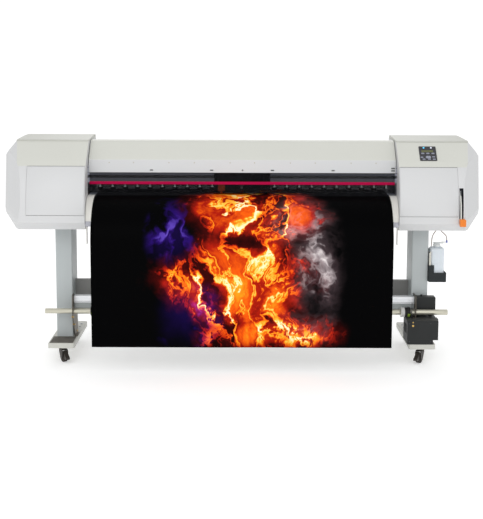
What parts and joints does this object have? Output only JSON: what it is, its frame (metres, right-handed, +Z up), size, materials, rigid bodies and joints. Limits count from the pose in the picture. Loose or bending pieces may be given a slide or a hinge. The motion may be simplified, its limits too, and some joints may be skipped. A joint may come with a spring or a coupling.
{
  "type": "roll-to-roll wide-format inkjet printer with cutter",
  "caption": "Wide roll-to-roll inkjet printer on a wheeled stand, with a hinged hood, side service units, a clamp lever, a cutting carriage and a take-up unit.",
  "frame": {"origin": "on the floor under the middle of the machine's bounding box", "axes": "+X to the operator's right along the print width, -Y towards the operator, +Z up"},
  "size_m": [2.698, 0.88, 1.2815],
  "materials": {
    "cover_white": "fine satin texture, warm light grey",
    "leg_grey": "satin paint, light grey",
    "foot_grey": "satin paint, light grey",
    "beam_grey": "satin paint, mid grey",
    "aluminium": "clear anodised extrusion",
    "bracket_steel": "dull plated steel",
    "black_case": "fine textured black paint",
    "zinc_steel": "zinc plated sheet",
    "platen_aluminium": "grey anodised",
    "cream_sheet": "satin paint, cream",
    "belt_rubber": "matt",
    "motor_steel": "dark plated steel",
    "vinyl_web": "printed soft vinyl, satin",
    "panel_black": "satin",
    "bottle_plastic": "milky polyethylene",
    "black_sheet": "fine black powder coat",
    "tube_plastic": "clear tube stained by ink",
    "black_plastic": "moulded, fine grain",
    "fastener_steel": "zinc plated",
    "tinted_acrylic": "smoke tinted acrylic, gloss",
    "key_blue": "lit key cap",
    "key_white": "lit key cap",
    "key_grey": "satin",
    "lever_white": "satin paint",
    "handle_orange": "moulded, satin gloss",
    "head_steel": "fine brushed",
    "cutter_orange": "moulded",
    "pulley_aluminium": "turned",
    "roller_steel": "knurled and plated",
    "paper_roll": "white backing paper",
    "shaft_steel": "anodised tube, warm grey",
    "caster_black": "black plated steel",
    "caster_tyre": "matt polyurethane"
  },
  "bodies": {
    "frame": {"stand_legs": "leg_grey", "stand_feet": "foot_grey", "cross_beam": "beam_grey", "takeup_rail": "aluminium", "takeup_brackets": "bracket_steel", "takeup_drive": "black_case", "chassis": "zinc_steel", "platen": "platen_aluminium", "front_guide": "cream_sheet", "rear_guide": "cream_sheet", "carriage_beam": "platen_aluminium", "drive_belt": "belt_rubber", "drive_motors": "motor_steel", "media_web": "vinyl_web", "supply_brackets": "bracket_steel", "right_end_cover": "cover_white", "left_end_cover": "cover_white", "top_covers": "cover_white", "rear_cover": "cover_white", "control_panel": "panel_black", "waste_bottle": "bottle_plastic", "bottle_holder": "black_sheet", "waste_tube_left": "tube_plastic", "waste_tube_right": "tube_plastic", "cap_station": "black_plastic", "ink_cartridges": "black_plastic", "electronics_box": "zinc_steel", "fasteners": "fastener_steel"},
    "hood": {"hood": "cover_white", "hood_window": "tinted_acrylic"},
    "left_door": {"left_door": "cover_white"},
    "right_door": {"right_door": "cover_white"},
    "power_key": {"power_key": "key_blue"},
    "heater_key": {"heater_key": "key_white"},
    "function_key_1": {"function_key_1": "key_grey"},
    "function_key_2": {"function_key_2": "key_grey"},
    "function_key_3": {"function_key_3": "key_grey"},
    "nav_pad": {"nav_pad": "key_grey"},
    "pressure_lever": {"pressure_lever": "lever_white", "lever_handle": "handle_orange"},
    "carriage": {"carriage": "black_plastic", "print_heads": "head_steel"},
    "cutter": {"cutter_holder": "cutter_orange"},
    "drive_pulley": {"drive_pulley": "pulley_aluminium"},
    "idler_pulley": {"idler_pulley": "pulley_aluminium"},
    "feed_roller": {"feed_roller": "roller_steel"},
    "pinch_arms": {"pinch_arms": "motor_steel"},
    "pinch_rollers": {"pinch_rollers": "belt_rubber"},
    "supply_roll": {"supply_roll": "paper_roll"},
    "takeup_shaft": {"takeup_shaft": "shaft_steel"},
    "caster_fl": {"caster_fork_fl": "caster_black"},
    "wheel_fl": {"caster_wheel_fl": "caster_tyre"},
    "caster_fr": {"caster_fork_fr": "caster_black"},
    "wheel_fr": {"caster_wheel_fr": "caster_tyre"},
    "caster_rl": {"caster_fork_rl": "caster_black"},
    "wheel_rl": {"caster_wheel_rl": "caster_tyre"},
    "caster_rr": {"caster_fork_rr": "caster_black"},
    "wheel_rr": {"caster_wheel_rr": "caster_tyre"},
    "brake_fl": {"caster_brake_fl": "caster_black"},
    "brake_fr": {"caster_brake_fr": "caster_black"}
  },
  "joints": [
    {"name": "hood_hinge", "type": "hinge", "parent": "frame", "child": "hood", "pos_m": [0, 0.005, 1.255], "axis": [1, 0, 0], "range_deg": [-75, 0]},
    {"name": "left_door_hinge", "type": "hinge", "parent": "frame", "child": "left_door", "pos_m": [-1.041, -0.3284, 0.866], "axis": [1, 0, 0], "range_deg": [0, 85]},
    {"name": "right_door_hinge", "type": "hinge", "parent": "frame", "child": "right_door", "pos_m": [1.041, -0.3284, 0.866], "axis": [1, 0, 0], "range_deg": [0, 85]},
    {"name": "power_key_press", "type": "slide", "parent": "frame", "child": "power_key", "axis": [0, -0.6833, 0.7302], "range_m": [-0.001, 0], "stiffness_N_per_m": 300, "springref_m": 0.0005},
    {"name": "heater_key_press", "type": "slide", "parent": "frame", "child": "heater_key", "axis": [0, -0.6833, 0.7302], "range_m": [-0.001, 0], "stiffness_N_per_m": 300, "springref_m": 0.0005},
    {"name": "function_key_1_press", "type": "slide", "parent": "frame", "child": "function_key_1", "axis": [0, -0.6833, 0.7302], "range_m": [-0.001, 0], "stiffness_N_per_m": 300, "springref_m": 0.0005},
    {"name": "function_key_2_press", "type": "slide", "parent": "frame", "child": "function_key_2", "axis": [0, -0.6833, 0.7302], "range_m": [-0.001, 0], "stiffness_N_per_m": 300, "springref_m": 0.0005},
    {"name": "function_key_3_press", "type": "slide", "parent": "frame", "child": "function_key_3", "axis": [0, -0.6833, 0.7302], "range_m": [-0.001, 0], "stiffness_N_per_m": 300, "springref_m": 0.0005},
    {"name": "nav_pad_press", "type": "slide", "parent": "frame", "child": "nav_pad", "axis": [0, -0.6833, 0.7302], "range_m": [-0.001, 0], "stiffness_N_per_m": 300, "springref_m": 0.0005},
    {"name": "lever_pivot", "type": "hinge", "parent": "frame", "child": "pressure_lever", "pos_m": [1.214, -0.268, 0.985], "axis": [1, 0, 0], "range_deg": [-35, 0]},
    {"name": "pinch_lift", "type": "hinge", "parent": "frame", "child": "pinch_arms", "pos_m": [0, 0.09, 1.005], "axis": [1, 0, 0], "range_deg": [-6, 0.1]},
    {"name": "carriage_slide", "type": "slide", "parent": "frame", "child": "carriage", "axis": [1, 0, 0], "range_m": [-0.86, 0.94]},
    {"name": "cutter_drop", "type": "slide", "parent": "carriage", "child": "cutter", "axis": [0, 0, 1], "range_m": [-0.005, 0], "stiffness_N_per_m": 150, "springref_m": 0.0008},
    {"name": "drive_pulley_spin", "type": "hinge", "parent": "frame", "child": "drive_pulley", "pos_m": [-1.15, -0.007, 1.085], "axis": [0, 1, 0], "range_deg": [-3600, 3600]},
    {"name": "idler_pulley_spin", "type": "hinge", "parent": "frame", "child": "idler_pulley", "pos_m": [1.15, -0.007, 1.085], "axis": [0, 1, 0], "range_deg": [-3600, 3600]},
    {"name": "feed_roller_spin", "type": "hinge", "parent": "frame", "child": "feed_roller", "pos_m": [0, 0.04, 0.95], "axis": [1, 0, 0], "continuous": true},
    {"name": "pinch_roller_spin", "type": "hinge", "parent": "pinch_arms", "child": "pinch_rollers", "pos_m": [0, 0.04, 0.9731], "axis": [1, 0, 0], "continuous": true},
    {"name": "supply_roll_spin", "type": "hinge", "parent": "frame", "child": "supply_roll", "pos_m": [0, 0.3613, 0.6], "axis": [1, 0, 0], "continuous": true},
    {"name": "takeup_shaft_spin", "type": "hinge", "parent": "frame", "child": "takeup_shaft", "pos_m": [0, -0.19, 0.288], "axis": [1, 0, 0], "continuous": true},
    {"name": "swivel_fl", "type": "hinge", "parent": "frame", "child": "caster_fl", "pos_m": [-1.031, -0.215, 0.075], "axis": [0, 0, 1], "continuous": true},
    {"name": "wheel_spin_fl", "type": "hinge", "parent": "caster_fl", "child": "wheel_fl", "pos_m": [-1.02011, -0.23177, 0.025], "axis": [0.8387, 0.5446, 0], "continuous": true},
    {"name": "brake_pedal_fl", "type": "hinge", "parent": "caster_fl", "child": "brake_fl", "pos_m": [-1.0152, -0.23932, 0.06], "axis": [0.8387, 0.5446, 0], "range_deg": [-18, 0]},
    {"name": "swivel_fr", "type": "hinge", "parent": "frame", "child": "caster_fr", "pos_m": [1.031, -0.215, 0.075], "axis": [0, 0, 1], "continuous": true},
    {"name": "wheel_spin_fr", "type": "hinge", "parent": "caster_fr", "child": "wheel_fr", "pos_m": [1.02011, -0.23177, 0.025], "axis": [0.8387, -0.5446, 0], "continuous": true},
    {"name": "brake_pedal_fr", "type": "hinge", "parent": "caster_fr", "child": "brake_fr", "pos_m": [1.0152, -0.23932, 0.06], "axis": [0.8387, -0.5446, 0], "range_deg": [-18, 0]},
    {"name": "swivel_rl", "type": "hinge", "parent": "frame", "child": "caster_rl", "pos_m": [-1.031, 0.215, 0.075], "axis": [0, 0, 1], "continuous": true},
    {"name": "wheel_spin_rl", "type": "hinge", "parent": "caster_rl", "child": "wheel_rl", "pos_m": [-1.02255, 0.19687, 0.025], "axis": [0.9063, 0.4226, 0], "continuous": true},
    {"name": "swivel_rr", "type": "hinge", "parent": "frame", "child": "caster_rr", "pos_m": [1.031, 0.215, 0.075], "axis": [0, 0, 1], "continuous": true},
    {"name": "wheel_spin_rr", "type": "hinge", "parent": "caster_rr", "child": "wheel_rr", "pos_m": [1.02255, 0.19687, 0.025], "axis": [0.9063, -0.4226, 0], "continuous": true}
  ],
  "couplings": [
    {"joint": "pinch_lift", "follows": "lever_pivot", "ratio": 0.16},
    {"joint": "pinch_roller_spin", "follows": "feed_roller_spin", "ratio": -1.3333},
    {"joint": "drive_pulley_spin", "follows": "carriage_slide", "rad_per_m": 63.694},
    {"joint": "idler_pulley_spin", "follows": "carriage_slide", "rad_per_m": 63.694}
  ]
}
